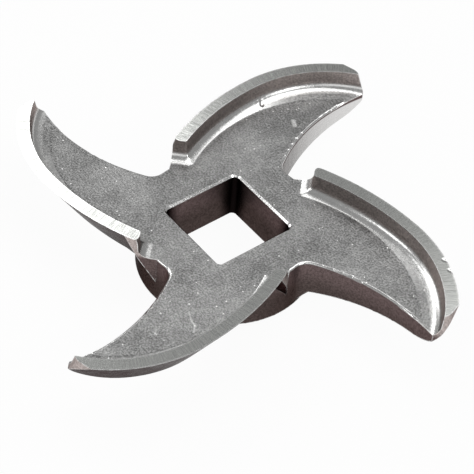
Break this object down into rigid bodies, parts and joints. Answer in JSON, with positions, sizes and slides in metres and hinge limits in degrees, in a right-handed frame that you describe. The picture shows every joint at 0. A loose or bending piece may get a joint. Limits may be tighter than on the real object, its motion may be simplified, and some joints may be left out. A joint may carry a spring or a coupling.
{
  "type": "meat grinder knife",
  "caption": "Cast stainless steel meat grinder knife: round hub with a square drive bore and four swept arms, each with a raised ground cutting rib.",
  "frame": {"origin": "centre of the square bore on the hub's back face", "axes": "+Z along the bore towards the cutting ribs; X and Y square to the bore's flats"},
  "size_m": [0.074, 0.074, 0.0121],
  "materials": {
    "cast_steel": "shot-blasted casting, ribs ground"
  },
  "bodies": {
    "root": {"knife": "cast_steel"}
  },
  "joints": []
}
